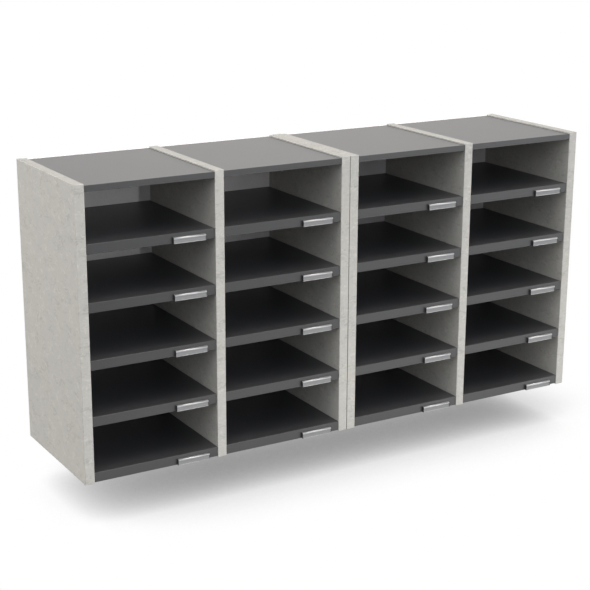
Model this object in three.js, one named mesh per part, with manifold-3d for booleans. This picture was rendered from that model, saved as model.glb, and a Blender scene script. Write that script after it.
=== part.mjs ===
// Pigeonhole mail sorter for a desk or cabinet top: two identical modules stand side by side,
// each a carcass of melamine-faced board with two columns of five pigeonholes. Light uprights
// carry dark tops, bases and loose shelves. The shelves rest on pins and draw out to the front,
// and every pigeonhole has a label holder on the board below it.
//
// Millimetres, +Z up. The fronts face -Y and the columns run along X. The origin is at the
// bottom centre of the whole sorter, on the surface that the uprights stand on.

import * as THREE from 'three';
import { mergeVertices } from 'three/addons/utils/BufferGeometryUtils.js';
import Module from 'manifold-3d';

const wasm = await Module();
wasm.setup();

// Driving dimensions: the layout
const MODULES = 2;
const COLUMNS = 2; // columns in a module
const ROWS = 5; // pigeonholes in a column
const COLUMN_WIDTH = 264; // clear width between two uprights
const HOLE_HEIGHT = 92.5; // clear height of a pigeonhole
const TOP_HOLE_HEIGHT = 97.5; // clear height of the highest pigeonhole
const CASE_DEPTH = 296; // front to rear of the uprights
const MODULE_GAP = 1.6; // seam between two modules

// Driving dimensions: the boards
const BOARD = 19; // uprights, shelves and bases
const TOP_BOARD = 12;
const BACK_BOARD = 3;
const UPRIGHT_PROUD = 2.5; // uprights past the top above and past the base below
const REBATE_WIDTH = 9.5; // rebate along the rear of a side, for the back
const SHELF_SETBACK = 1.5; // shelf fronts behind the upright fronts

// Driving dimensions: the shelf pin holes
const PIN_DIAMETER = 5;
const PIN_INSET = 37; // pin axis to the nearest edge of the shelf, front and rear
const PIN_HOLE_WEB = 3; // board left between two opposite pin holes

// Driving dimensions: the label holders
const LABEL_LENGTH = 68.5;
const LABEL_HEIGHT = 12;
const LABEL_PROUD = 5; // front of a holder before its back
const LABEL_ROUND = 3; // rounding along the upper front edge
const LABEL_WALL = 1;
const LABEL_INSET = 21.5; // holder's right end to the upright on its right
const LABEL_DROP = 0.2; // holder's lower edge below the underside of its board

// Driving dimensions: the connectors that join two modules
const CONNECTOR_HEAD_DIAMETER = 15;
const CONNECTOR_HEAD = 1.8; // thickness of a head
const SLEEVE_DIAMETER = 8;
const SCREW_DIAMETER = 5.2;
const SLEEVE_END = 2; // sleeve end and screw end short of the far head
const CONNECTOR_INSET = 62; // connector axis to the rear of the uprights

// Clearances
const BOARD_FIT = 0.15; // hairline at each end of a fixed board
const BACK_FIT = 0.3; // play of the back in its rebate and behind the boards
const SHELF_SIDE_PLAY = 0.8;
const SHELF_REAR_PLAY = 1;
const LABEL_TAPE = 0.3; // adhesive between a holder and its board
const CONNECTOR_FIT = 0.3;

// Roundness of the turned pieces and of the curved faces
const PIN_HOLE_SIDES = 12;
const TURNED_SIDES = 24;
const LABEL_ARC_STEPS = 10;

// Derived layout, measured from the front bottom left corner of a module
const pitch = HOLE_HEIGHT + BOARD;
const baseTop = UPRIGHT_PROUD + BOARD;
const topUnderside = baseTop + (ROWS - 1) * pitch + TOP_HOLE_HEIGHT;
const topFace = topUnderside + TOP_BOARD;
const caseHeight = topFace + UPRIGHT_PROUD;
const columnPitch = COLUMN_WIDTH + BOARD;
const moduleWidth = COLUMNS * columnPitch + BOARD;
const modulePitch = moduleWidth + MODULE_GAP;
const sorterWidth = MODULES * modulePitch - MODULE_GAP;
const backFront = CASE_DEPTH - BACK_BOARD;
const boardRear = backFront - BACK_FIT;
const shelfRear = backFront - SHELF_REAR_PLAY;
const labelReach = LABEL_TAPE + LABEL_PROUD;

// Finishes
const lightBoard = new THREE.MeshStandardMaterial({ color: 0xc6c2ba, roughness: 0.55, metalness: 0 });
const darkBoard = new THREE.MeshStandardMaterial({ color: 0x46484d, roughness: 0.4, metalness: 0 });
const backSheet = new THREE.MeshStandardMaterial({ color: 0xbdbab3, roughness: 0.6, metalness: 0 });
const satinMetal = new THREE.MeshStandardMaterial({ color: 0xb9bbbd, roughness: 0.35, metalness: 1 });
const platedSteel = new THREE.MeshStandardMaterial({ color: 0xa8a9ab, roughness: 0.3, metalness: 1 });

// Spans along X, Y and Z, each as [low, high]
function boxGeometry(x, y, z) {
  const geometry = new THREE.BoxGeometry(x[1] - x[0], y[1] - y[0], z[1] - z[0]);
  return geometry.translate((x[0] + x[1]) / 2, (y[0] + y[1]) / 2, (z[0] + z[1]) / 2);
}

// A round bar along X from one x to another
function barGeometry(x, y, z, diameter, sides) {
  const geometry = new THREE.CylinderGeometry(diameter / 2, diameter / 2, x[1] - x[0], sides);
  geometry.rotateZ(Math.PI / 2);
  return geometry.translate((x[0] + x[1]) / 2, y, z);
}

function toSolid(geometry) {
  const bare = geometry.clone();
  bare.deleteAttribute('normal');
  bare.deleteAttribute('uv');
  const merged = mergeVertices(bare);
  return new wasm.Manifold(new wasm.Mesh({
    numProp: 3,
    vertProperties: new Float32Array(merged.attributes.position.array),
    triVerts: new Uint32Array(merged.index.array),
  }));
}

function toGeometry(solid) {
  const mesh = solid.getMesh();
  const geometry = new THREE.BufferGeometry();
  geometry.setAttribute('position', new THREE.BufferAttribute(mesh.vertProperties, 3));
  geometry.setIndex(new THREE.BufferAttribute(mesh.triVerts, 1));
  geometry.computeVertexNormals();
  return geometry;
}

function cut(geometry, tools) {
  let solid = toSolid(geometry);
  for (const tool of tools) {
    solid = solid.subtract(toSolid(tool));
  }
  return toGeometry(solid);
}

function piece(name, geometry, material) {
  const mesh = new THREE.Mesh(geometry, material);
  mesh.name = name;
  return mesh;
}

// Top face of the shelf under pigeonhole `row`, counted from the top; the last is the base
function shelfTop(row) {
  return baseTop + (ROWS - row) * pitch;
}

// The bottom and top of pigeonhole `row`
function holeSpan(row) {
  const bottom = shelfTop(row);
  return [bottom, bottom + (row === 1 ? TOP_HOLE_HEIGHT : HOLE_HEIGHT)];
}

// Blind holes for the pins that carry the shelves beside the face at `faceX`, drilled along
// `inward`, which is +1 or -1
function pinHoles(faceX, inward) {
  const depth = (BOARD - PIN_HOLE_WEB) / 2;
  const ends = [faceX - inward * CONNECTOR_FIT, faceX + inward * depth].sort((a, b) => a - b);
  const holes = [];
  for (let row = 1; row < ROWS; row += 1) {
    const z = shelfTop(row) - BOARD - PIN_DIAMETER / 2;
    for (const y of [SHELF_SETBACK + PIN_INSET, shelfRear - PIN_INSET]) {
      holes.push(barGeometry(ends, y, z, PIN_DIAMETER, PIN_HOLE_SIDES));
    }
  }
  return holes;
}

// The heights of the connectors: the middle of the highest and of the lowest pigeonhole
function connectorHeights() {
  return [1, ROWS].map((row) => {
    const [bottom, top] = holeSpan(row);
    return (bottom + top) / 2;
  });
}

function connectorHoles(x) {
  const diameter = SLEEVE_DIAMETER + 2 * CONNECTOR_FIT;
  const through = [x[0] - BOARD_FIT, x[1] + BOARD_FIT];
  return connectorHeights().map((z) => (
    barGeometry(through, CASE_DEPTH - CONNECTOR_INSET, z, diameter, TURNED_SIDES)
  ));
}

// A side: full depth, rebated at the rear inside for the back, with pin holes on its inner face
function sidePanel(x, inward, joined) {
  const inner = inward > 0 ? x[1] : x[0];
  const rebateEnds = [inner - inward * REBATE_WIDTH, inner + inward * BOARD_FIT].sort((a, b) => a - b);
  const rebate = boxGeometry(
    rebateEnds,
    [boardRear, CASE_DEPTH + BACK_FIT],
    [-UPRIGHT_PROUD, caseHeight + UPRIGHT_PROUD],
  );
  const tools = [rebate, ...pinHoles(inner, -inward)];
  if (joined) {
    tools.push(...connectorHoles(x));
  }
  return cut(boxGeometry(x, [0, CASE_DEPTH], [0, caseHeight]), tools);
}

// A divider: it stops short of the back and has pin holes on both faces
function divider(x) {
  const board = boxGeometry(x, [0, boardRear], [0, caseHeight]);
  return cut(board, [...pinHoles(x[0], 1), ...pinHoles(x[1], -1)]);
}

// The back: one sheet behind all the columns of a module, lying in the rebates of its sides
function backPanel() {
  const edge = BOARD - REBATE_WIDTH + BACK_FIT;
  return boxGeometry(
    [edge, moduleWidth - edge],
    [backFront, CASE_DEPTH],
    [UPRIGHT_PROUD, topFace],
  );
}

// Outline of a label holder's section, x to the front and y up, set in by `inset` all round
function holderOutline(path, inset) {
  const front = LABEL_PROUD - inset;
  const high = LABEL_HEIGHT - inset;
  path.moveTo(inset, inset);
  path.lineTo(front, inset);
  path.absarc(
    LABEL_PROUD - LABEL_ROUND,
    LABEL_HEIGHT - LABEL_ROUND,
    LABEL_ROUND - inset,
    0,
    Math.PI / 2,
    false,
  );
  path.lineTo(inset, high);
  path.closePath();
  return path;
}

// A label holder: a hollow strip, rounded above, open at both ends so that a card slides in
function labelHolder() {
  const section = holderOutline(new THREE.Shape(), 0);
  section.holes.push(holderOutline(new THREE.Path(), LABEL_WALL));
  const geometry = new THREE.ExtrudeGeometry(section, {
    depth: LABEL_LENGTH,
    steps: 1,
    curveSegments: LABEL_ARC_STEPS,
    bevelEnabled: false,
  });
  const toFront = new THREE.Vector3(0, -1, 0);
  const up = new THREE.Vector3(0, 0, 1);
  const along = new THREE.Vector3(-1, 0, 0);
  return geometry.applyMatrix4(new THREE.Matrix4().makeBasis(toFront, up, along));
}

// A holder on the board whose front and underside are given, near the right end of column `x`
function placedHolder(name, x, front, underside) {
  const mesh = piece(name, labelHolder(), satinMetal);
  mesh.position.set(x[1] - LABEL_INSET, front - LABEL_TAPE, underside - LABEL_DROP);
  return mesh;
}

// Turned about X: a profile of [along, radius] points that starts and ends on the axis
function turned(profile) {
  const points = profile.map(([along, radius]) => new THREE.Vector2(radius, along));
  const geometry = new THREE.LatheGeometry(points, TURNED_SIDES);
  return geometry.rotateZ(-Math.PI / 2);
}

// A connector's sleeve: a head in the left-hand column and a hollow barrel through both sides
function connectorSleeve(grip) {
  const bore = SCREW_DIAMETER / 2 + CONNECTOR_FIT;
  const end = grip - SLEEVE_END;
  return turned([
    [-CONNECTOR_HEAD, 0],
    [-CONNECTOR_HEAD, CONNECTOR_HEAD_DIAMETER / 2],
    [0, CONNECTOR_HEAD_DIAMETER / 2],
    [0, SLEEVE_DIAMETER / 2],
    [end, SLEEVE_DIAMETER / 2],
    [end, bore],
    [SLEEVE_END, bore],
    [SLEEVE_END, 0],
  ]);
}

// A connector's screw: a head in the right-hand column and a shank inside the sleeve
function connectorScrew(grip) {
  return turned([
    [2 * SLEEVE_END, 0],
    [2 * SLEEVE_END, SCREW_DIAMETER / 2],
    [grip, SCREW_DIAMETER / 2],
    [grip, CONNECTOR_HEAD_DIAMETER / 2],
    [grip + CONNECTOR_HEAD, CONNECTOR_HEAD_DIAMETER / 2],
    [grip + CONNECTOR_HEAD, 0],
  ]);
}

// One column between two uprights: its top, its base, its shelves and its label holders
function column(number, x) {
  const group = new THREE.Group();
  const name = `column_${number}`;
  const fixed = [x[0] + BOARD_FIT, x[1] - BOARD_FIT];
  const loose = [x[0] + SHELF_SIDE_PLAY, x[1] - SHELF_SIDE_PLAY];

  const top = boxGeometry(fixed, [0, boardRear], [topUnderside, topFace]);
  group.add(piece(`${name}_top`, top, darkBoard));

  for (let row = 1; row < ROWS; row += 1) {
    const upper = shelfTop(row);
    const shelf = boxGeometry(loose, [SHELF_SETBACK, shelfRear], [upper - BOARD, upper]);
    group.add(piece(`${name}_shelf_${row}`, shelf, darkBoard));
    group.add(placedHolder(`${name}_label_${row}`, x, SHELF_SETBACK, upper - BOARD));
  }

  const base = boxGeometry(fixed, [0, boardRear], [UPRIGHT_PROUD, baseTop]);
  group.add(piece(`${name}_base`, base, darkBoard));
  group.add(placedHolder(`${name}_label_${ROWS}`, x, 0, UPRIGHT_PROUD));
  return group;
}

// One module: its two sides, the dividers between its columns, its back and its columns
function sorterModule(number) {
  const group = new THREE.Group();
  const name = `module_${number}`;
  const hasLeftNeighbour = number > 1;
  const hasRightNeighbour = number < MODULES;

  const leftSide = sidePanel([0, BOARD], 1, hasLeftNeighbour);
  group.add(piece(`${name}_left_side`, leftSide, lightBoard));
  for (let index = 1; index < COLUMNS; index += 1) {
    const x = [index * columnPitch, index * columnPitch + BOARD];
    group.add(piece(`${name}_divider_${index}`, divider(x), lightBoard));
  }
  const rightSide = sidePanel([moduleWidth - BOARD, moduleWidth], -1, hasRightNeighbour);
  group.add(piece(`${name}_right_side`, rightSide, lightBoard));
  group.add(piece(`${name}_back`, backPanel(), backSheet));

  for (let index = 0; index < COLUMNS; index += 1) {
    const left = BOARD + index * columnPitch;
    group.add(column((number - 1) * COLUMNS + index + 1, [left, left + COLUMN_WIDTH]));
  }
  group.position.x = (number - 1) * modulePitch;
  return group;
}

// The connectors through the two sides that meet on the right of module `number`
function moduleConnectors(number) {
  const group = new THREE.Group();
  const grip = 2 * BOARD + MODULE_GAP + 2 * CONNECTOR_FIT;
  connectorHeights().forEach((z, index) => {
    const name = `connector_${number}_${index + 1}`;
    const sleeve = piece(`${name}_sleeve`, connectorSleeve(grip), platedSteel);
    const screw = piece(`${name}_screw`, connectorScrew(grip), platedSteel);
    for (const mesh of [sleeve, screw]) {
      mesh.position.set(-CONNECTOR_FIT, CASE_DEPTH - CONNECTOR_INSET, z);
      group.add(mesh);
    }
  });
  group.position.x = (number - 1) * modulePitch + moduleWidth - BOARD;
  return group;
}

const sorter = new THREE.Group();
for (let number = 1; number <= MODULES; number += 1) {
  sorter.add(sorterModule(number));
  if (number < MODULES) {
    sorter.add(moduleConnectors(number));
  }
}
sorter.position.set(-sorterWidth / 2, -(CASE_DEPTH - labelReach) / 2, 0);

export default sorter;
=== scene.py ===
"""Looks of a pigeonhole mail sorter, laid out as an add-on and run as a script.

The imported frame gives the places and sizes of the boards, label holders and connectors. They and
what is fixed to them, such as edge bands, cards, pins and nails, are surfaces worked out with numpy,
in metres, +Z up, with the open fronts towards -Y.
"""

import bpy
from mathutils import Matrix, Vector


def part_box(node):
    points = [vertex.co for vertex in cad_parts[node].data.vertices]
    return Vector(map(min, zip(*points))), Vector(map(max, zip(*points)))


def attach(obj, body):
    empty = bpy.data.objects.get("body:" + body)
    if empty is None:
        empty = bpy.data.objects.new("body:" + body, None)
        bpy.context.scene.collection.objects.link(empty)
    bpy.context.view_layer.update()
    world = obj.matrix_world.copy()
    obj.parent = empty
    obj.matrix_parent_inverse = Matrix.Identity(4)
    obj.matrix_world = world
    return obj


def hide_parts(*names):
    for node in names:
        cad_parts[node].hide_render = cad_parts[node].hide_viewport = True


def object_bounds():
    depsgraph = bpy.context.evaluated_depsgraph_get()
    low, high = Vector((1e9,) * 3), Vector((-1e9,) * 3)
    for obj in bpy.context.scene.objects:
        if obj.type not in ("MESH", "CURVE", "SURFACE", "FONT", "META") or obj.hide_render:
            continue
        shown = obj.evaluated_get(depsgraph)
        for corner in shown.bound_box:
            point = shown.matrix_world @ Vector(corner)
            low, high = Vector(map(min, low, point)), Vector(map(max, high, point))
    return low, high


bl_info = {
    "name": "Pigeonhole mail sorter",
    "version": (1, 0, 0),
    "blender": (4, 5, 0),
    "location": "View3D > Sidebar > Mail sorter",
    "description": "Dresses a mail sorter's frame with boards, label holders, fixings and finishes",
    "category": "Object",
}

import math

import bpy
import numpy as np
from bpy.props import FloatProperty, FloatVectorProperty, PointerProperty
from bpy.types import Operator, Panel, PropertyGroup
from mathutils import Euler, Matrix

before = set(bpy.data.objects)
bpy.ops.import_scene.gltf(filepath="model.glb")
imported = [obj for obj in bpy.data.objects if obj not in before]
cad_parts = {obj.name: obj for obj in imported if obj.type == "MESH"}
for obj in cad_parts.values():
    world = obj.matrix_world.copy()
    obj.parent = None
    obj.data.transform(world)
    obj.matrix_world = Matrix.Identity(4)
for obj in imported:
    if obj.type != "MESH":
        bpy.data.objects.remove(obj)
CAD_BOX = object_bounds()

CASE = "case"
X, Y, Z = 0, 1, 2
LEFTWARD, RIGHTWARD, REARWARD, UPWARD = (-1, 0, 0), (1, 0, 0), (0, 1, 0), (0, 0, 1)
MODULES = (1, 2)
COLUMNS = (1, 2, 3, 4)
SHELVES = (1, 2, 3, 4)
BASE_ROW = 5
CONNECTORS = (1, 2)

# Steps around arcs, round sections and the floor
ARC_STEPS = 4
LIP_STEPS = 8
PIN_STEPS = 16
HEX_STEPS = 48
RIM_STEPS = 16
FLOOR_STEPS = 64

# Easing of a board's ends as a share of its edge radius, and the turn at which a rounded nose ends
EASE_SHARE = 0.8
NOSE_TURN = math.radians(80)

# The three rings of a connector's bevel, as shares of it behind the head's face and inside its rim
BEVEL_BEHIND = np.array([0, 1 / 6, 2 / 3])
BEVEL_INSIDE = np.array([1, 1 / 4, 0])

# Cosine above which a face counts as facing a direction
ALIGNED = 0.999

# The middle of a noise, and where most values of a noise, a blend of two and a slow cloud lie
NOISE_MIDDLE = 0.5
NOISE_RANGE = (0.3, 0.7)
BLEND_RANGE = (0.32, 0.68)
CLOUD_RANGE = (0.4, 0.6)

# Marks in the pale decor: half width of a line, run-out at its gaps, scale of the gaps, weights
MARK_WIDTH = 0.06
MARK_EDGE = 0.08
MARK_GAPS = 0.8
LIGHT_MARK, DARK_MARK = 0.36, 0.48

# Tints of the pale decor's clouds and the dark decor's sheen, and the share of the depth over which the dark
# decor's painted shade comes in
WARM, COOL = (1.005, 1.0, 0.993), (0.995, 1.0, 1.007)
DARK_SHEEN = (0.998, 0.977, 0.93, 1.0)
# Share of the depth over which the dark decor's painted shade blends in
PAINTED_SHADE_SHARE = 0.4

# Camera sensor in millimetres, half height of the soft horizon and samples of the floor's shade
SENSOR_WIDTH = 36.0
HORIZON = 0.02
SHADE_SAMPLES = 16


# Surfaces

def rounded_outline(corners, radii, steps=ARC_STEPS):
    """A closed outline, counter-clockwise, whose corners are arcs.

    Each arc touches the two sides at its corner. Its centre lies on the corner's bisector, and its
    points are the centre plus the radius times a unit vector that turns evenly from the outward
    normal of the first side to that of the second. At a hollow corner the radius counts as
    negative. Returns the points, the outward unit normals there, and whether a straight side
    starts at each point.
    """
    corners = np.asarray(corners, float)
    radii = np.broadcast_to(np.asarray(radii, float), len(corners))
    along = np.roll(corners, -1, axis=0) - corners
    along /= np.linalg.norm(along, axis=1)[:, None]
    normal_out = np.stack((along[:, 1], -along[:, 0]), axis=1)
    normal_in = np.roll(normal_out, 1, axis=0)
    cross = normal_in[:, 0] * normal_out[:, 1] - normal_in[:, 1] * normal_out[:, 0]
    dot = np.sum(normal_in * normal_out, axis=1)
    signed = radii * np.sign(cross)
    centres = corners - (signed / (1 + dot))[:, None] * (normal_in + normal_out)
    start = np.arctan2(normal_in[:, 1], normal_in[:, 0])
    angles = start[:, None] + np.arctan2(cross, dot)[:, None] * np.linspace(0, 1, steps + 1)
    normals = np.stack((np.cos(angles), np.sin(angles)), axis=2)
    points = centres[:, None] + signed[:, None, None] * normals
    straight = np.zeros(angles.shape, bool)
    straight[:, -1] = True
    return points.reshape(-1, 2), normals.reshape(-1, 2), straight.ravel()


def circle_outline(radius, steps):
    """A circle about the path: the radius times the cosine and sine of even turns."""
    angles = np.linspace(0, 2 * math.pi, steps, endpoint=False)
    normals = np.stack((np.cos(angles), np.sin(angles)), axis=1)
    return radius * normals, normals, np.zeros(steps, bool)


def eased_stations(low, high, radius):
    """Places along a path with the insets that ease both ends by quarter circles.

    An inset falls from the easing to nothing as one minus a sine, while the place moves in from
    the end as one minus a cosine.
    """
    ease = EASE_SHARE * radius
    turn = np.linspace(0, math.pi / 2, ARC_STEPS + 1)
    place = ease * (1 - np.cos(turn))
    inset = ease * (1 - np.sin(turn))
    return np.concatenate((low + place, (high - place)[::-1])), np.concatenate((inset, inset[::-1]))


def carried(outline, axis, places, insets):
    """An outline carried along an axis, drawn in at each place by an inset along its normals.

    The point of station i and outline point j is the outline's point minus the inset there times
    the normal, set at the station's place along the axis. A station has one inset or one for each
    point. Both ends are closed by flat caps. Returns the points, the faces and which of the faces
    are flat: the caps, straight sides whose inset stays, and rings whose place stays.
    """
    points, normals, straight = outline
    stations, count = len(places), len(points)
    places = np.asarray(places, float)
    insets = np.asarray(insets, float).reshape(stations, -1)
    grid = np.empty((stations, count, 3))
    grid[:, :, axis] = places[:, None]
    grid[:, :, [(axis + 1) % 3, (axis + 2) % 3]] = points - insets[:, :, None] * normals
    index = np.arange(stations * count).reshape(stations, count)
    beside = np.roll(index, -1, axis=1)
    quads = np.stack((index[:-1], beside[:-1], beside[1:], index[1:]), axis=2).reshape(-1, 4)
    level = np.isclose(insets[1:], insets[:-1])
    ring = np.isclose(np.diff(places), 0)
    flat = np.logical_or(np.logical_and(level, straight), ring[:, None]).ravel()
    faces = quads.tolist() + [index[0, ::-1].tolist(), index[-1].tolist()]
    return grid.reshape(-1, 3), faces, np.append(flat, (True, True))


def moved(shape, offset):
    """A surface moved by an offset."""
    points, faces, flat = shape
    return points + np.array(offset), faces, flat


def mirrored(shape):
    """A surface with X turned to minus X, and its faces reversed so that they still face outwards."""
    points, faces, flat = shape
    return points * np.array([-1, 1, 1]), [face[::-1] for face in faces], flat


def joined(shapes):
    """Several surfaces as one: their points and faces in turn, the faces counted on."""
    starts = np.cumsum([0] + [len(points) for points, _, _ in shapes[:-1]])
    faces = [[int(start) + i for i in face] for start, shape in zip(starts, shapes) for face in shape[1]]
    return np.concatenate([s[0] for s in shapes]), faces, np.concatenate([s[2] for s in shapes])


def make_piece(name, shape, finishes, body, node=None, facing=()):
    """A mesh object of a surface, riding on a body.

    Flat faces take the first finish and rounded ones the last. Each pair in facing gives flat faces
    whose normal runs along its direction a finish of their own.
    """
    points, faces, flat = shape
    mesh = bpy.data.meshes.new(name)
    mesh.from_pydata(points.tolist(), [], faces)
    mesh.update()
    mesh.polygons.foreach_set("use_smooth", ~flat)
    for material in (*finishes, *(own for _, own in facing)):
        mesh.materials.append(material)
    index = np.where(flat, 0, len(finishes) - 1).astype(np.int32)
    normals = np.empty(3 * len(faces))
    mesh.polygons.foreach_get("normal", normals)
    for number, (direction, _) in enumerate(facing, len(finishes)):
        along = normals.reshape(-1, 3) @ np.array(direction, float) > ALIGNED
        index[np.logical_and(flat, along)] = number
    mesh.polygons.foreach_set("material_index", index)
    mesh.update()
    piece = bpy.data.objects.new(name, mesh)
    bpy.context.scene.collection.objects.link(piece)
    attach(piece, body)
    if node:
        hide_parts(node)


def span(node):
    """The lowest and highest corner of a node of the frame, as a 2 by 3 array."""
    return np.array([list(corner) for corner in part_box(node)])


def rounded_board(low, high, axis, radius):
    """A box with rounded edges: a rounded rectangle carried along an axis with eased ends."""
    u, v = (axis + 1) % 3, (axis + 2) % 3
    corners = [(low[u], low[v]), (high[u], low[v]), (high[u], high[v]), (low[u], high[v])]
    outline = rounded_outline(corners, radius)
    return carried(outline, axis, *eased_stations(low[axis], high[axis], radius))


# Patterns

def feed(tree, socket, value):
    """Links a value to a socket, or sets the socket to a number, vector or colour."""
    if isinstance(value, bpy.types.NodeSocket):
        tree.links.new(value, socket)
    else:
        socket.default_value = value


def add_node(tree, kind, inputs=(), **settings):
    """A shader node with some of its settings, and with what its sockets are fed, by name or number."""
    node = tree.nodes.new(f"ShaderNode{kind}")
    for name, value in settings.items():
        setattr(node, name, value)
    for name, value in dict(inputs).items():
        feed(tree, node.inputs[name], value)
    return node


def features(tree, per_metre):
    """Object coordinates scaled to so many features to a metre along X, Y and Z."""
    place = add_node(tree, "TexCoord").outputs["Object"]
    return add_node(tree, "Mapping", {"Vector": place, "Scale": per_metre}).outputs["Vector"]


def noise(tree, per_metre, detail=3.0, roughness=0.55, distortion=0.0):
    """Noise with so many features to a metre along X, Y and Z."""
    return add_node(tree, "TexNoise", {
        "Vector": features(tree, per_metre), "Scale": 1.0, "Detail": detail, "Roughness": roughness,
        "Distortion": distortion}).outputs["Fac"]


def ranged(tree, value, from_low, from_high, to_low=0.0, to_high=1.0):
    """A value carried from one range to another, and kept inside it."""
    return add_node(tree, "MapRange", {
        "Value": value, "From Min": from_low, "From Max": from_high, "To Min": to_low,
        "To Max": to_high}).outputs["Result"]


def reckoned(tree, operation, first, second=0.0):
    """A sum, product or other working of one or two values."""
    return add_node(tree, "Math", {0: first, 1: second}, operation=operation).outputs["Value"]


def weighed(tree, first, second, share):
    """Two values mixed, with the given share of the second."""
    inputs = {"Factor": share, "A": first, "B": second}
    return add_node(tree, "Mix", inputs, data_type="FLOAT").outputs["Result"]


def blended(tree, factor, first, second):
    """Two colours mixed by a factor."""
    inputs = {"Factor": factor, "A": first, "B": second}
    return add_node(tree, "Mix", inputs, data_type="RGBA").outputs["Result"]


def scaled(colour, share, tint=(1.0, 1.0, 1.0)):
    """A colour, or another set of three, times a share and a tint."""
    return tuple(share * c * t for c, t in zip(colour, tint))


def toned(tree, factor, colour, darkest, lightest, tint=(1.0, 1.0, 1.0)):
    """A tinted colour that runs from its darkest to its lightest share by a factor."""
    return blended(
        tree, factor, (*scaled(colour, darkest, tint), 1.0), (*scaled(colour, lightest, tint), 1.0))


def ridges(tree, pattern, width):
    """Thin lines where a pattern crosses its middle value: one there, nothing beyond the width."""
    apart = reckoned(tree, "ABSOLUTE", reckoned(tree, "SUBTRACT", pattern, NOISE_MIDDLE))
    return ranged(tree, apart, 0.0, width, 1.0, 0.0)


def marks(tree, per_metre, weight):
    """Short crooked marks: thin lines of a pattern, broken up where a second pattern is low."""
    lines = ridges(tree, noise(tree, per_metre, detail=1, distortion=1.2), MARK_WIDTH)
    broken = noise(tree, scaled(per_metre, MARK_GAPS), detail=1)
    gaps = ranged(tree, broken, NOISE_MIDDLE, NOISE_MIDDLE + MARK_EDGE)
    return reckoned(tree, "MULTIPLY", reckoned(tree, "MULTIPLY", lines, gaps), weight)


def depth_from_front(tree):
    """None at the sorter's front and all from where the painted shade is full, by the Object coordinate Y.
    """
    front, rear = CAD_BOX[0][Y], CAD_BOX[1][Y]
    place = add_node(tree, "TexCoord").outputs["Object"]
    apart = add_node(tree, "SeparateXYZ", {"Vector": place})
    return ranged(tree, apart.outputs["Y"], front, front + PAINTED_SHADE_SHARE * (rear - front))


# Finishes

def new_finish(name, **sockets):
    """A material with values on its shader's sockets, and its tree."""
    material = bpy.data.materials.new(name)
    material.use_nodes = True
    shader = material.node_tree.nodes["Principled BSDF"]
    for socket, value in sockets.items():
        shader.inputs[socket.replace("_", " ")].default_value = value
    return material, material.node_tree


def finished(material, shade, worn, roughness, raised, depth, share):
    """Gives a material's shader its colour, roughness and bump, and returns the material.

    The roughness runs over its range by the worn pattern. The bump is a share of that of the
    raised pattern, whose full range is so deep.
    """
    tree = material.node_tree
    shader = tree.nodes["Principled BSDF"]
    bump = add_node(tree, "Bump", {"Height": raised, "Distance": depth, "Strength": share})
    feed(tree, shader.inputs["Base Color"], shade)
    feed(tree, shader.inputs["Roughness"], ranged(tree, worn, *NOISE_RANGE, *roughness))
    feed(tree, shader.inputs["Normal"], bump.outputs["Normal"])
    return material


def pale_melamine(name, colour, gloss=0.0):
    """Pale warm grey decor: mottled, with crooked dark and light marks over warm and cool clouds."""
    material, tree = new_finish(name)
    mottle = noise(tree, (120, 120, 170), detail=4, roughness=0.7, distortion=0.8)
    streak = noise(tree, (420, 420, 110), detail=3, roughness=0.6, distortion=1.0)
    cloud = noise(tree, (16, 16, 9), detail=3)
    fine = weighed(tree, mottle, streak, share=0.2)
    lit = reckoned(tree, "ADD", fine, marks(tree, (43, 43, 75), LIGHT_MARK))
    tone = reckoned(tree, "SUBTRACT", lit, marks(tree, (48, 48, 84), DARK_MARK))
    warm = toned(tree, tone, colour, darkest=0.8, lightest=1.2, tint=WARM)
    cool = toned(tree, tone, colour, darkest=0.79, lightest=1.18, tint=COOL)
    shade = blended(tree, ranged(tree, cloud, *CLOUD_RANGE), cool, warm)
    return finished(material, shade, fine, (0.44 - gloss, 0.6 - gloss), tone, depth=0.0003, share=0.3)


def dark_melamine(name, colour, gloss=0.0, deep=None):
    """Anthracite decor: a fine pearl grain over faint clouds, with a satin surface.

    With a deep colour, the decor blends towards the rear into that colour: painted shade, a bluer tone for
    the shade deep inside the pigeonholes.
    """
    material, tree = new_finish(name, Specular_IOR_Level=0.8, Specular_Tint=DARK_SHEEN)
    pearl = noise(tree, (700, 700, 700), detail=3, roughness=0.6)
    cloud = noise(tree, (9, 9, 9), detail=2)
    factor = ranged(tree, weighed(tree, pearl, cloud, share=0.35), *BLEND_RANGE)
    shade = toned(tree, factor, colour, darkest=0.86, lightest=1.15)
    # Painted shade: the deep colour blends in towards the rear, for the bluer shade deep inside the
    # pigeonholes
    if deep:
        inner = toned(tree, factor, deep, darkest=0.86, lightest=1.15)
        shade = blended(tree, depth_from_front(tree), shade, inner)
    return finished(material, shade, pearl, (0.37 - gloss, 0.43 - gloss), pearl, depth=0.0001, share=0.25)


def chipboard(name, colour):
    """A sawn edge of pressed wood flakes: small cells of mixed browns with pits between them."""
    material, tree = new_finish(name)
    flakes = add_node(tree, "TexVoronoi", {
        "Vector": features(tree, (520, 520, 520)), "Scale": 1.0})
    grey = add_node(tree, "SeparateColor", {"Color": flakes.outputs["Color"]})
    dust = noise(tree, (1500, 1500, 1500), detail=3)
    tone = weighed(tree, grey.outputs["Red"], dust, share=0.4)
    shade = toned(tree, tone, colour, darkest=0.6, lightest=1.35)
    return finished(material, shade, dust, (0.78, 0.95), flakes.outputs["Distance"], depth=0.0006, share=0.6)


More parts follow.
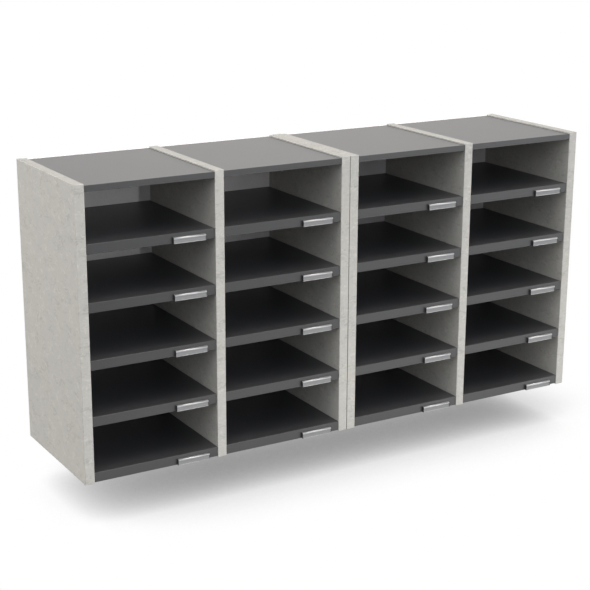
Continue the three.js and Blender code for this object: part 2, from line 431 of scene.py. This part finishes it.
def lacquered_sheet(name, colour):
    """Pale lacquer on hardboard: even, with the faint mesh of the press and a few cloudy patches."""
    material, tree = new_finish(name)
    fibre = noise(tree, (700, 700, 500), detail=4, roughness=0.65, distortion=0.5)
    cloud = noise(tree, (9, 9, 7), detail=3)
    factor = ranged(tree, weighed(tree, fibre, cloud, share=0.4), *BLEND_RANGE)
    shade = toned(tree, factor, colour, darkest=0.9, lightest=1.08)
    return finished(material, shade, cloud, (0.5, 0.64), fibre, depth=0.0002, share=0.4)


def brushed_metal(name, colour, per_metre, rough):
    """Metal with fine brush lines along one axis, drawn out by the scale, and dull finger marks."""
    material, tree = new_finish(name, Metallic=1.0)
    lines = noise(tree, per_metre, detail=4, roughness=0.7)
    prints = noise(tree, (60, 60, 60), detail=3)
    tone = weighed(tree, lines, prints, share=0.35)
    shade = toned(tree, ranged(tree, tone, *NOISE_RANGE), colour, darkest=0.88, lightest=1.08)
    return finished(material, shade, tone, (rough - 0.07, rough + 0.07), lines, depth=0.00006, share=0.3)


def moulded_plastic(name, colour):
    """Dark moulded plastic: a fine even texture with a few paler scuffs."""
    material, tree = new_finish(name)
    grain = noise(tree, (1800, 1800, 1800), detail=2)
    scuff = ridges(tree, noise(tree, (260, 260, 260), detail=2, distortion=1.0), width=0.03)
    tone = weighed(tree, grain, scuff, share=0.25)
    shade = toned(tree, tone, colour, darkest=0.8, lightest=1.3)
    return finished(material, shade, grain, (0.5, 0.62), grain, depth=0.00008, share=0.3)


def card_stock(name, colour):
    """Blank card: short fibres, a slight tooth and no shine."""
    material, tree = new_finish(name)
    fibre = noise(tree, (600, 900, 1400), detail=4, roughness=0.7)
    cloud = noise(tree, (70, 70, 70), detail=2)
    factor = ranged(tree, weighed(tree, fibre, cloud, share=0.35), *BLEND_RANGE)
    shade = toned(tree, factor, colour, darkest=0.92, lightest=1.06)
    return finished(material, shade, fibre, (0.55, 0.7), fibre, depth=0.00008, share=0.3)


def floor_paint(name, settings):
    """White studio floor that glows by itself, with a painted soft shadow where what stands above it would
    hide the light.

    The share of open sky within reach, about a direction that leans to the light, is carried from
    the floor's tone in full shade to white.
    """
    material = bpy.data.materials.new(name)
    material.use_nodes = True
    tree = material.node_tree
    tree.nodes.clear()
    lean = add_node(tree, "CombineXYZ", enumerate(settings.shade_lean))
    hidden = add_node(tree, "AmbientOcclusion", {
        "Normal": lean.outputs["Vector"], "Distance": settings.shade_reach}, samples=SHADE_SAMPLES)
    tone = ranged(tree, hidden.outputs["AO"], 0.0, settings.shade_white, settings.shade_tone)
    glow = add_node(tree, "Emission", {"Color": tone})
    add_node(tree, "OutputMaterial", {"Surface": glow.outputs["Emission"]})
    return material


def finish(kind):
    """The finish of that name, made the first time that it is asked for."""
    colours = bpy.context.scene.sorter.colours
    makers = {
        "pale_face": lambda: pale_melamine(kind, colours.pale),
        "pale_edge": lambda: pale_melamine(kind, scaled(colours.pale, share=1.06), gloss=0.08),
        # A darker copy of the pale decor for the uprights' upward faces: painted shade
        "pale_ledge_painted_shade": lambda: pale_melamine(kind, scaled(colours.pale, share=0.68)),
        "dark_face": lambda: dark_melamine(kind, colours.dark),
        # A copy of the dark decor with painted shade: bluer deep inside the pigeonholes
        "dark_inner_painted_shade": lambda: dark_melamine(kind, colours.dark, deep=colours.deep),
        "dark_edge": lambda: dark_melamine(kind, scaled(colours.dark, share=1.3), gloss=0.05),
        "sawn_core": lambda: chipboard(kind, colours.core),
        "back_face": lambda: lacquered_sheet(kind, colours.back),
        "back_rear": lambda: lacquered_sheet(kind, colours.rear),
        "rail_metal": lambda: brushed_metal(kind, colours.rail, (25, 2400, 2400), rough=0.5),
        "pin_steel": lambda: brushed_metal(kind, colours.steel, (700, 700, 700), rough=0.28),
        "cap_plastic": lambda: moulded_plastic(kind, colours.cap),
        "label_card": lambda: card_stock(kind, colours.card),
    }
    return bpy.data.materials.get(kind) or makers[kind]()


def dark_finishes(face):
    """Face of the dark boards, and a lighter, glossier copy for their rounded edges."""
    return finish(face), finish("dark_edge")


# Settings

def setting(kind, **form):
    """A maker of settings of one form, each with its name, default and description."""
    def make(name, default, description):
        return kind(name=name, default=default, description=description, **form)
    return make


def radians(*degrees):
    """Angles in degrees as radians."""
    return [math.radians(angle) for angle in degrees]


# A bearing is a light's turn right of the front and its height above the horizon, and a tint a
# factor on each of its channels. An amount is a plain number, never negative.
length = setting(FloatProperty, min=0.0, unit="LENGTH", precision=5)
position = setting(FloatVectorProperty, size=3, subtype="TRANSLATION", unit="LENGTH")
turning = setting(FloatProperty, subtype="ANGLE", unit="ROTATION")
bearing = setting(FloatVectorProperty, size=2, subtype="EULER", unit="ROTATION")
paint = setting(FloatVectorProperty, min=0.0, max=1.0, size=3, subtype="COLOR")
light_tint = setting(FloatVectorProperty, min=0.0, soft_max=2.0, size=3, subtype="COLOR")
amount = setting(FloatProperty, min=0.0)


class BoardSizes(PropertyGroup):
    """Sizes of the boards' edges."""

    edge_radius: length("Edge radius", 0.0005, "Rounding of the boards' edges")
    band_thickness: length("Band thickness", 0.001, "Edge band on the front of each board")
    band_radius: length("Band radius", 0.00045, "Rounding of the edge bands")
    rebate_fit: length("Rebate fit", 0.0003, "Play of a back in the rebates of its sides")


class HolderSizes(PropertyGroup):
    """Sizes of the label holders and their cards."""

    wall: length("Wall", 0.0007, "Thickness of a holder's walls")
    upper_round: length("Upper rounding", 0.002, "Rounding along a holder's upper front edge")
    upper_lip: length("Upper lip", 0.0032, "Upper edge of a holder to the lip's edge on its front")
    lower_lip: length("Lower lip", 0.0009, "Lower edge of a holder to the lip's edge on its front")
    edge_radius: length("Edge radius", 0.00018, "Rounding of the other edges")
    cap_thickness: length("Cap thickness", 0.0004, "Plastic cap that closes each end of a holder")
    card_thickness: length("Card thickness", 0.0006, "Thickness of a card")
    card_radius: length("Card radius", 0.00015, "Rounding of a card's edges")
    card_play: length("Card play", 0.0001, "Gap between a card and the walls around it")


class FixingSizes(PropertyGroup):
    """Sizes of the pins, connectors and nails."""

    pin_diameter: length("Pin diameter", 0.0049, "Diameter of a shelf pin")
    pin_reach: length("Pin reach", 0.009, "Length of a pin under the shelf")
    pin_depth: length("Pin depth", 0.0075, "Length of a pin inside the upright")
    pin_inset: length("Pin inset", 0.037, "Pin axis from the shelf's front and rear edges")
    pin_nose: length("Pin nose", 0.0012, "Rounding of a pin's free end")
    groove_place: length("Groove place", 0.0011, "Middle of a pin's groove from the upright")
    groove_width: length("Groove width", 0.0008, "Width of the groove where it starts")
    groove_depth: length("Groove depth", 0.0003, "Depth of the groove")
    head_thickness: length("Head thickness", 0.0018, "Thickness of a connector's head")
    head_bevel: length("Head bevel", 0.0012, "Bevel around a connector's head")
    sleeve_radius: length("Sleeve radius", 0.0039, "Radius of a connector's sleeve")
    screw_radius: length("Screw radius", 0.0026, "Radius of a connector's screw")
    end_bevel: length("End bevel", 0.0004, "Bevel on a connector's end")
    key_width: length("Key width", 0.004, "Hexagon socket of a connector, across its flats")
    key_depth: length("Key depth", 0.0012, "Depth of the hexagon socket")
    nail_diameter: length("Nail head diameter", 0.006, "Head of a nail in the back")
    nail_head: length("Nail head height", 0.0006, "Height of a nail's head above the back")
    nail_spacing: length("Nail spacing", 0.13, "Greatest distance between two nails")
    nail_inset: length("Nail inset", 0.024, "First and last nail of a row in from the edges of a back")


class FinishColours(PropertyGroup):
    """Colours of the finishes."""

    pale: paint("Pale decor", (0.473, 0.455, 0.407), "Light boards and their edge bands")
    # The dark decor's own colour; towards the rear of shelves and bases it blends into the deep colour,
    # which is painted shade
    dark: paint("Dark decor", (0.0303, 0.0298, 0.0308), "Dark boards where light has faded them")
    # Painted shade: a bluer tone for the shade deep inside the pigeonholes
    deep: paint("Deep decor", (0.0318, 0.0345, 0.0395), "Dark boards deep inside the pigeonholes")
    back: paint("Back", (0.93, 0.88, 0.845), "Lacquer inside the backs")
    rear: paint("Rear", (0.5, 0.49, 0.465), "Lacquer on the rear of the backs")
    core: paint("Core", (0.36, 0.25, 0.15), "Sawn chipboard edges")
    rail: paint("Rail", (0.54, 0.533, 0.519), "Anodised label holders")
    steel: paint("Steel", (0.62, 0.61, 0.6), "Plated pins, connectors and nails")
    cap: paint("Cap", (0.03, 0.03, 0.032), "End caps of the label holders")
    card: paint("Card", (0.247, 0.243, 0.236), "Blank label cards")


class StageSettings(PropertyGroup):
    """The camera, the light and the floor."""

    camera_place: position("Camera place", (-1.52, -2.505, 1.0978), "Where the camera stands")
    camera_turn: turning("Camera turn", math.radians(-30.56), "Heading of the camera from straight ahead")
    camera_tilt: turning("Camera tilt", math.radians(16.026), "How far the camera looks down")
    camera_roll: turning("Camera roll", math.radians(0.231), "Turn of the camera about its line of sight")
    camera_lens: FloatProperty(
        name="Lens", description="Focal length of the camera", default=87.33, min=1.0, unit="CAMERA")
    fill_above: amount("Fill above", 0.4, "Even light from above the horizon")
    fill_below: amount("Fill below", 0.02, "Even light from below the horizon")
    overhead: amount("Overhead light", 9.5, "Narrower light from high in front")
    left_high: amount("Left light", 1.88, "Soft light from the front left, halfway up")
    right_low: amount("Right light", 2.85, "Soft light from low on the front right")
    rear_left: amount("Rear left light", 3.12, "Soft light from low on the rear left")
    rear_right: amount("Rear right light", 1.16, "Soft light from low on the rear right")
    overhead_from: bearing("Overhead from", radians(0, 76), "Where the overhead light comes from")
    left_high_from: bearing("Left from", radians(-45, 38), "Where the left light comes from")
    right_low_from: bearing("Right from", radians(51, 8), "Where the right light comes from")
    rear_left_from: bearing("Rear left from", radians(-135, 8), "Where the rear left light comes from")
    rear_right_from: bearing("Rear right from", radians(150, 10), "Where the rear right light comes from")
    fill_tint: light_tint("Fill tint", (0.95, 1.0, 1.16), "Hue of the even light")
    overhead_tint: light_tint("Overhead tint", (1.05, 1.0, 0.94), "Hue of the overhead light")
    front_tint: light_tint("Front tint", (0.972, 1.0, 1.04), "Hue of the lights in front and the lamp")
    rear_left_tint: light_tint("Rear left tint", (1.03, 1.0, 0.975), "Hue of the rear left light")
    rear_right_tint: light_tint("Rear right tint", (1.055, 1.008, 0.915), "Hue of the rear right light")
    overhead_power: amount("Overhead power", 24.0, "Power of the cosine by which the overhead light fades")
    soft_power: amount("Softness power", 8.0, "Power of the cosine by which each soft light fades")
    bounce: FloatProperty(
        name="Bounce", description="Light that the floor throws up at the fronts", default=2.62, min=0.0,
        unit="POWER")
    bounce_place: position("Bounce place", (0.2, -0.65, -0.085), "Middle of the lit floor")
    bounce_size: FloatVectorProperty(
        name="Bounce size", description="Width and depth of the lit floor", default=(1.6, 0.8),
        size=2, unit="LENGTH")
    lamp: amount("Lamp", 2.7, "Narrow lamp before the two left columns")
    lamp_place: position("Lamp place", (-0.227, -1.0, 0.65), "Where the narrow lamp hangs")
    lamp_radius: length("Lamp radius", 0.006, "Radius of the narrow lamp")
    lamp_turn: turning("Lamp turn", math.radians(6.9), "Heading of the lamp, left of straight ahead")
    lamp_spread: turning("Lamp spread", math.radians(48.0), "Angle across the lamp's cone of light")
    # The floor's soft shadow is painted from these settings, not cast by the lights
    shade_lean: FloatVectorProperty(
        name="Shade lean", description="Direction of the light that the floor is shaded from",
        default=(-0.3685, -0.0436, 0.9286), size=3, subtype="DIRECTION")
    shade_reach: length("Shade reach", 0.385, "How far off a thing still shades the floor")
    shade_white: amount("Shade white", 0.743, "Share of open sky from which on the floor is white")
    shade_tone: amount("Shade tone", 0.039, "Tone of the floor where no sky is open")
    floor_drop: length("Floor drop", 0.09, "Floor below the sorter's feet")
    floor_radius: length("Floor radius", 12.0, "Half the width of the level floor")
    rim_height: length("Rim height", 10.0, "Height of the rim that sweeps up around the floor")


class SorterSettings(PropertyGroup):
    """Everything that a user would change."""

    boards: PointerProperty(type=BoardSizes)
    holders: PointerProperty(type=HolderSizes)
    fixings: PointerProperty(type=FixingSizes)
    colours: PointerProperty(type=FinishColours)
    stage: PointerProperty(type=StageSettings)


# Pieces

def add_edge_band(node, axis, finishes, body):
    """The edge band of a board: a thin rounded board that closes its front."""
    sizes = bpy.context.scene.sorter.boards
    low, high = span(node)
    high[Y] = low[Y] + sizes.band_thickness
    band = rounded_board(low, high, axis, sizes.band_radius)
    make_piece(f"{node}_edge_band", band, finishes, body)


def add_banded_board(node, axis, finishes, banding, body, facing):
    """A rounded board that starts behind its edge band, and the band."""
    sizes = bpy.context.scene.sorter.boards
    low, high = span(node)
    low[Y] += sizes.band_thickness
    board = rounded_board(low, high, axis, sizes.edge_radius)
    make_piece(f"{node}_board", board, finishes, body, node, facing)
    add_edge_band(node, axis, banding, body)


def rebated_side(node, back_node):
    """A side: a rectangle less the rebate that the back lies in, rounded and carried along Z."""
    sizes = bpy.context.scene.sorter.boards
    low, high = span(node)
    back_low, back_high = span(back_node)
    front, rear = low[Y] + sizes.band_thickness, high[Y]
    step = back_low[Y] - sizes.rebate_fit
    if low[X] < back_low[X]:
        wall = back_low[X] - sizes.rebate_fit
        corners = [(low[X], front), (high[X], front), (high[X], step),
                   (wall, step), (wall, rear), (low[X], rear)]
    else:
        wall = back_high[X] + sizes.rebate_fit
        corners = [(low[X], front), (high[X], front), (high[X], rear),
                   (wall, rear), (wall, step), (low[X], step)]
    outline = rounded_outline(corners, sizes.edge_radius)
    return carried(outline, Z, *eased_stations(low[Z], high[Z], sizes.edge_radius))


class SORTER_OT_uprights(Operator):
    """Builds the four sides and the two dividers with their front edge bands"""

    bl_idname = "sorter.uprights"
    bl_label = "Uprights"

    def execute(self, context):
        pale = finish("pale_face"), finish("pale_edge")
        # Upward faces of the uprights take a darker copy of the pale decor: painted shade
        facing = (REARWARD, finish("sawn_core")), (UPWARD, finish("pale_ledge_painted_shade"))
        for module in MODULES:
            add_banded_board(f"module_{module}_divider_1", Z, pale, pale, CASE, facing)
            for hand in ("left", "right"):
                node = f"module_{module}_{hand}_side"
                side = rebated_side(node, f"module_{module}_back")
                make_piece(f"{node}_board", side, pale, CASE, node, facing)
                add_edge_band(node, Z, pale, CASE)
        return {"FINISHED"}


class SORTER_OT_tops_and_bases(Operator):
    """Builds the fixed dark boards above and below each column"""

    bl_idname = "sorter.tops_and_bases"
    bl_label = "Tops and bases"

    def execute(self, context):
        sawn = [(REARWARD, finish("sawn_core"))]
        banding = dark_finishes("dark_face")
        for column in COLUMNS:
            # Bases carry the dark decor with painted shade deep inside the pigeonholes
            for place, face in (("top", "dark_face"), ("base", "dark_inner_painted_shade")):
                node = f"column_{column}_{place}"
                add_banded_board(node, X, dark_finishes(face), banding, CASE, sawn)
        return {"FINISHED"}


class SORTER_OT_shelves(Operator):
    """Builds the loose shelves, each on its own body"""

    bl_idname = "sorter.shelves"
    bl_label = "Shelves"

    def execute(self, context):
        sawn = [(direction, finish("sawn_core")) for direction in (REARWARD, LEFTWARD, RIGHTWARD)]
        # Shelves carry the dark decor with painted shade deep inside the pigeonholes
        dark, banding = dark_finishes("dark_inner_painted_shade"), dark_finishes("dark_face")
        for column in COLUMNS:
            for row in SHELVES:
                node = f"column_{column}_shelf_{row}"
                body = f"loose_shelf_{column}_{row}"
                add_banded_board(node, X, dark, banding, body, sawn)
        return {"FINISHED"}


class SORTER_OT_backs(Operator):
    """Builds the backs and the rows of nails that hold them"""

    bl_idname = "sorter.backs"
    bl_label = "Backs"

    def execute(self, context):
        radius = context.scene.sorter.boards.edge_radius
        facing = [(REARWARD, finish("back_rear"))]
        for module in MODULES:
            node = f"module_{module}_back"
            low, high = span(node)
            sheet = rounded_board(low, high, Z, radius)
            make_piece(f"{node}_sheet", sheet, [finish("back_face")], CASE, node, facing)
            nails = joined([nail(x, high[Y], z) for x, z in nail_places(module)])
            make_piece(f"{node}_nails", nails, [finish("pin_steel")], CASE)
        return {"FINISHED"}


def even_places(first, last, spacing):
    """Evenly spread places from first to last, no further apart than the spacing."""
    return np.linspace(first, last, math.ceil((last - first) / spacing) + 1)


def nail_places(module):
    """Nails along the middle of the boards that the back lies on: tops, bases and the divider."""
    sizes = bpy.context.scene.sorter.fixings
    low, high = span(f"module_{module}_back")
    divider = span(f"module_{module}_divider_1")[:, X].mean()
    first_column = 2 * module - 1
    heights = [span(f"column_{first_column}_{place}")[:, Z].mean() for place in ("base", "top")]
    across = even_places(low[X] + sizes.nail_inset, high[X] - sizes.nail_inset, sizes.nail_spacing)
    upward = even_places(*heights, sizes.nail_spacing)[1:-1]
    return [(x, z) for z in heights for x in across] + [(divider, z) for z in upward]


def nail(x, y, z):
    """A domed nail head on the rear: a circle carried along Y, drawn in as a shallow cap.

    The cap's places follow a sine and its insets one minus a cosine, most of the way to the axis.
    """
    sizes = bpy.context.scene.sorter.fixings
    radius = sizes.nail_diameter / 2
    turn = np.linspace(0, NOSE_TURN, ARC_STEPS)
    places = np.append(y - sizes.nail_head, y + sizes.nail_head * np.sin(turn))
    insets = np.append(0.0, radius * (1 - np.cos(turn)))
    return moved(carried(circle_outline(radius, PIN_STEPS), Y, places, insets), (x, 0, z))


class SORTER_OT_label_holders(Operator):
    """Builds the label holders with their end caps and the blank cards inside them"""

    bl_idname = "sorter.label_holders"
    bl_label = "Label holders"

    def execute(self, context):
        rail, cap, card = [finish("rail_metal")], [finish("cap_plastic")], [finish("label_card")]
        for column in COLUMNS:
            for row in (*SHELVES, BASE_ROW):
                node = f"column_{column}_label_{row}"
                body = CASE if row == BASE_ROW else f"loose_shelf_{column}_{row}"
                make_piece(f"{node}_rail", holder_rail(node), rail, body, node)
                make_piece(f"{node}_end_caps", holder_caps(node), cap, body)
                make_piece(f"{node}_card", holder_card(node), card, body)
        return {"FINISHED"}


def holder_rail(node):
    """A rail of constant section along X: a back, an upper and a lower wall and two lips in front.

    The section is a channel of even wall, open in front. Its upper front corner turns with the
    upper rounding outside, and with the same less the wall inside.
    """
    sizes = bpy.context.scene.sorter.holders
    low, high = span(node)
    wall, turn, small = sizes.wall, sizes.upper_round, sizes.edge_radius
    front, rear, bottom, top = low[Y], high[Y], low[Z], high[Z]
    upper_lip, lower_lip = top - sizes.upper_lip, bottom + sizes.lower_lip
    corners = [
        (rear, bottom), (rear, top), (front, top), (front, upper_lip), (front + wall, upper_lip),
        (front + wall, top - wall), (rear - wall, top - wall), (rear - wall, bottom + wall),
        (front + wall, bottom + wall), (front + wall, lower_lip), (front, lower_lip), (front, bottom),
    ]
    radii = [small, small, turn, small, small, turn - wall, small, small, small, small, small, small]
    outline = rounded_outline(corners, radii, LIP_STEPS)
    return carried(outline, X, (low[X] + sizes.cap_thickness, high[X] - sizes.cap_thickness), (0, 0))


def holder_caps(node):
    """The plates that close both ends of a rail: its filled outline carried over their thickness."""
    sizes = bpy.context.scene.sorter.holders
    low, high = span(node)
    small, thick = sizes.edge_radius, sizes.cap_thickness
    corners = [(high[Y], low[Z]), (high[Y], high[Z]), (low[Y], high[Z]), (low[Y], low[Z])]
    outline = rounded_outline(corners, [small, small, sizes.upper_round, small], LIP_STEPS)
    return joined([carried(outline, X, *eased_stations(start, start + thick, small))
                   for start in (low[X], high[X] - thick)])


def holder_card(node):
    """A flat card behind the lips, from the lower wall to the start of the upper rounding."""
    sizes = bpy.context.scene.sorter.holders
    low, high = span(node)
    front = low[Y] + sizes.wall + sizes.card_play
    margin = sizes.cap_thickness + sizes.card_play
    card_low = (low[X] + margin, front, low[Z] + sizes.wall + sizes.card_play)
    card_high = (high[X] - margin, front + sizes.card_thickness, high[Z] - sizes.upper_round)
    return rounded_board(card_low, card_high, X, sizes.card_radius)


class SORTER_OT_shelf_pins(Operator):
    """Builds the four pins under each shelf, which stay in the uprights"""

    bl_idname = "sorter.shelf_pins"
    bl_label = "Shelf pins"

    def execute(self, context):
        inset = context.scene.sorter.fixings.pin_inset
        for column in COLUMNS:
            base = span(f"column_{column}_base")
            for row in SHELVES:
                low, high = span(f"column_{column}_shelf_{row}")
                pins = [shelf_pin(x, inward, y, low[Z])
                        for x, inward in ((base[0, X], 1), (base[1, X], -1))
                        for y in (low[Y] + inset, high[Y] - inset)]
                name = f"column_{column}_shelf_{row}_pins"
                make_piece(name, joined(pins), [finish("pin_steel")], CASE)
        return {"FINISHED"}


def shelf_pin(x, inward, y, underside):
    """A turned pin along X, its free end rounded, with a shallow groove beside the upright.

    The nose is most of a quarter circle: its places follow a sine and its insets one minus a cosine.
    """
    sizes = bpy.context.scene.sorter.fixings
    radius, nose, deep = sizes.pin_diameter / 2, sizes.pin_nose, sizes.groove_depth
    outer, inner = sizes.groove_width / 2, sizes.groove_width / 2 - deep
    groove = sizes.groove_place + np.array([-outer, -inner, inner, outer])
    turn = np.linspace(0, NOSE_TURN, ARC_STEPS)
    places = np.concatenate(([-sizes.pin_depth], groove, sizes.pin_reach - nose + nose * np.sin(turn)))
    insets = np.concatenate(([0, 0, deep, deep, 0], nose * (1 - np.cos(turn))))
    pin = carried(circle_outline(radius, PIN_STEPS), X, places, insets)
    return moved(pin if inward > 0 else mirrored(pin), (x, y, underside - radius))


class SORTER_OT_connectors(Operator):
    """Builds the sleeves and screws that join the two modules"""

    bl_idname = "sorter.connectors"
    bl_label = "Connectors"

    def execute(self, context):
        steel = [finish("pin_steel")]
        for number in CONNECTORS:
            for kind, inward in (("sleeve", 1), ("screw", -1)):
                node = f"connector_1_{number}_{kind}"
                make_piece(f"{node}_turned", connector(node, inward), steel, CASE, node)
        return {"FINISHED"}


def connector(node, inward):
    """A turned head and barrel along X whose flat head has a hexagon socket.

    The radius at a turn and a station is the station's own, or in the socket the hexagon's: half
    its width over the cosine of the turn past the nearest flat.
    """
    sizes = bpy.context.scene.sorter.fixings
    low, high = span(node)
    middle, reach = (low + high) / 2, high[X] - low[X]
    rim, thick, bevel, end = (high[Z] - low[Z]) / 2, sizes.head_thickness, sizes.head_bevel, sizes.end_bevel
    barrel = sizes.sleeve_radius if inward > 0 else sizes.screw_radius
    key, flat_turn, socket = sizes.key_width / 2, math.pi / 3, [sizes.key_depth, 0]
    places = np.concatenate((socket, bevel * BEVEL_BEHIND, [thick, thick, reach - end, reach]))
    radii = np.concatenate((
        [key, key], rim - bevel * BEVEL_INSIDE, [rim, barrel, barrel, barrel - end]))
    turn = np.linspace(0, 2 * math.pi, HEX_STEPS, endpoint=False)
    past_flat = np.mod(turn + flat_turn / 2, flat_turn) - flat_turn / 2
    radius = np.repeat(radii[:, None], HEX_STEPS, axis=1)
    radius[:len(socket)] /= np.cos(past_flat)
    turned = carried(circle_outline(rim, HEX_STEPS), X, places, rim - radius)
    if inward > 0:
        return moved(turned, (low[X], middle[Y], middle[Z]))
    return moved(mirrored(turned), (high[X], middle[Y], middle[Z]))


class SORTER_OT_stage(Operator):
    """Sets the camera, the lights and the floor"""

    bl_idname = "sorter.stage"
    bl_label = "Stage"

    def execute(self, context):
        scene = context.scene
        settings = scene.sorter.stage
        place_camera(scene, settings)
        light_dome(scene, settings)
        lay_bounce(scene, settings)
        hang_lamp(scene, settings)
        lay_floor(scene, settings)
        scene.view_settings.view_transform = "Standard"
        scene.view_settings.look = "None"
        return {"FINISHED"}


def place_camera(scene, settings):
    """The camera stands to the left of the sorter, looking down at its fronts."""
    data = bpy.data.cameras.new("camera")
    data.sensor_width = SENSOR_WIDTH
    data.lens = settings.camera_lens
    camera = bpy.data.objects.new("camera", data)
    camera.location = settings.camera_place
    aim = Euler((math.pi / 2 - settings.camera_tilt, 0.0, settings.camera_turn)).to_matrix()
    camera.rotation_euler = (aim @ Matrix.Rotation(settings.camera_roll, 3, "Z")).to_euler()
    scene.collection.objects.link(camera)
    scene.camera = camera


def heading(turn, height):
    """The unit vector at a turn right of the front and a height above the horizon."""
    return (math.sin(turn) * math.cos(height), -math.cos(turn) * math.cos(height), math.sin(height))


def vector_worked(tree, operation, inputs):
    """A node that works on vectors."""
    return add_node(tree, "VectorMath", inputs, operation=operation)


def hued(tree, value, hue):
    """A value as light of a hue: each channel times its share."""
    return vector_worked(tree, "SCALE", {"Vector": tuple(hue), "Scale": value}).outputs["Vector"]


def light_dome(scene, settings):
    """Surroundings with an even fill above and below the horizon and five broad lights.

    Each light adds its strength times a power of the cosine of the angle to its direction.
    """
    world = bpy.data.worlds.new("soft_surroundings")
    world.use_nodes = True
    tree = world.node_tree
    around = add_node(tree, "TexCoord").outputs["Generated"]
    apart = add_node(tree, "SeparateXYZ", {"Vector": around})
    fill = ranged(tree, apart.outputs["Z"], -HORIZON, HORIZON, settings.fill_below, settings.fill_above)
    light = hued(tree, fill, settings.fill_tint)
    soft, front = settings.soft_power, settings.front_tint
    lights = ((settings.overhead, settings.overhead_from, settings.overhead_power, settings.overhead_tint),
              (settings.left_high, settings.left_high_from, soft, front),
              (settings.right_low, settings.right_low_from, soft, front),
              (settings.rear_left, settings.rear_left_from, soft, settings.rear_left_tint),
              (settings.rear_right, settings.rear_right_from, soft, settings.rear_right_tint))
    for strength, source, power, hue in lights:
        cosine = vector_worked(tree, "DOT_PRODUCT", {0: around, 1: heading(*source)}).outputs["Value"]
        glow = reckoned(tree, "POWER", reckoned(tree, "MAXIMUM", cosine), power)
        share = hued(tree, glow, scaled(hue, strength))
        light = vector_worked(tree, "ADD", {0: light, 1: share}).outputs["Vector"]
    feed(tree, tree.nodes["Background"].inputs["Color"], light)
    scene.world = world


def lay_bounce(scene, settings):
    """A low panel before the sorter that throws light up at its fronts, as a bright floor does."""
    data = bpy.data.lights.new("floor_bounce", "AREA")
    data.shape = "RECTANGLE"
    data.size, data.size_y = settings.bounce_size
    data.energy = settings.bounce
    panel = bpy.data.objects.new("floor_bounce", data)
    panel.location = settings.bounce_place
    panel.rotation_euler = (math.pi, 0.0, 0.0)
    panel.visible_camera = False
    scene.collection.objects.link(panel)


def hang_lamp(scene, settings):
    """A lamp that shines level into the holes, in a soft-edged cone that distance does not weaken."""
    data = bpy.data.lights.new("narrow_lamp", "SPOT")
    data.shadow_soft_size = settings.lamp_radius
    data.spot_size = settings.lamp_spread
    data.spot_blend = 1.0
    data.energy = 1.0
    data.color = settings.front_tint
    data.use_nodes = True
    tree = data.node_tree
    falloff = add_node(tree, "LightFalloff", {"Strength": settings.lamp})
    feed(tree, tree.nodes["Emission"].inputs["Strength"], falloff.outputs["Constant"])
    lamp = bpy.data.objects.new("narrow_lamp", data)
    lamp.location = settings.lamp_place
    lamp.rotation_euler = (math.pi / 2, 0.0, settings.lamp_turn)
    scene.collection.objects.link(lamp)


def lay_floor(scene, settings):
    """A wide level floor whose rim sweeps up all round as a backdrop.

    A circle is carried upward: it lies on the floor and grows with the sine of a turn while it
    rises with one minus the cosine, so its inset is minus that sine times the rim's height.
    """
    turn = np.linspace(0, math.pi / 2, RIM_STEPS + 1)
    places = settings.rim_height * (1 - np.cos(turn)) - settings.floor_drop
    insets = -settings.rim_height * np.sin(turn)
    points, faces, _ = carried(circle_outline(settings.floor_radius, FLOOR_STEPS), Z, places, insets)
    mesh = bpy.data.meshes.new("floor")
    mesh.from_pydata(points.tolist(), [], [face[::-1] for face in faces[:-1]])
    mesh.materials.append(floor_paint("floor_paint", settings))
    floor = bpy.data.objects.new("floor", mesh)
    scene.collection.objects.link(floor)
    floor.visible_diffuse = False
    floor.visible_glossy = False
    floor.visible_shadow = False


class SORTER_PT_panel(Panel):
    """Lists the sorter's pieces and settings in the sidebar"""

    bl_idname = "SORTER_PT_panel"
    bl_label = "Mail sorter"
    bl_space_type = "VIEW_3D"
    bl_region_type = "UI"
    bl_category = "Mail sorter"

    def draw(self, context):
        for operator in OPERATORS:
            self.layout.operator(operator.bl_idname)
        for group in SorterSettings.__annotations__:
            box = self.layout.box()
            settings = getattr(context.scene.sorter, group)
            for name in settings.__annotations__:
                box.prop(settings, name)


GROUPS = (BoardSizes, HolderSizes, FixingSizes, FinishColours, StageSettings, SorterSettings)
OPERATORS = (
    SORTER_OT_uprights,
    SORTER_OT_tops_and_bases,
    SORTER_OT_shelves,
    SORTER_OT_backs,
    SORTER_OT_label_holders,
    SORTER_OT_shelf_pins,
    SORTER_OT_connectors,
    SORTER_OT_stage,
)


def register():
    """Registers the settings, the operators and the panel."""
    for cls in (*GROUPS, *OPERATORS, SORTER_PT_panel):
        bpy.utils.register_class(cls)
    bpy.types.Scene.sorter = PointerProperty(type=SorterSettings)


def unregister():
    """Takes them out again."""
    del bpy.types.Scene.sorter
    for cls in reversed((*GROUPS, *OPERATORS, SORTER_PT_panel)):
        bpy.utils.unregister_class(cls)


def main():
    """Builds every group of pieces and the stage."""
    register()
    bpy.ops.sorter.uprights()
    bpy.ops.sorter.tops_and_bases()
    bpy.ops.sorter.shelves()
    bpy.ops.sorter.backs()
    bpy.ops.sorter.label_holders()
    bpy.ops.sorter.shelf_pins()
    bpy.ops.sorter.connectors()
    bpy.ops.sorter.stage()


if __name__ == "__main__":
    main()
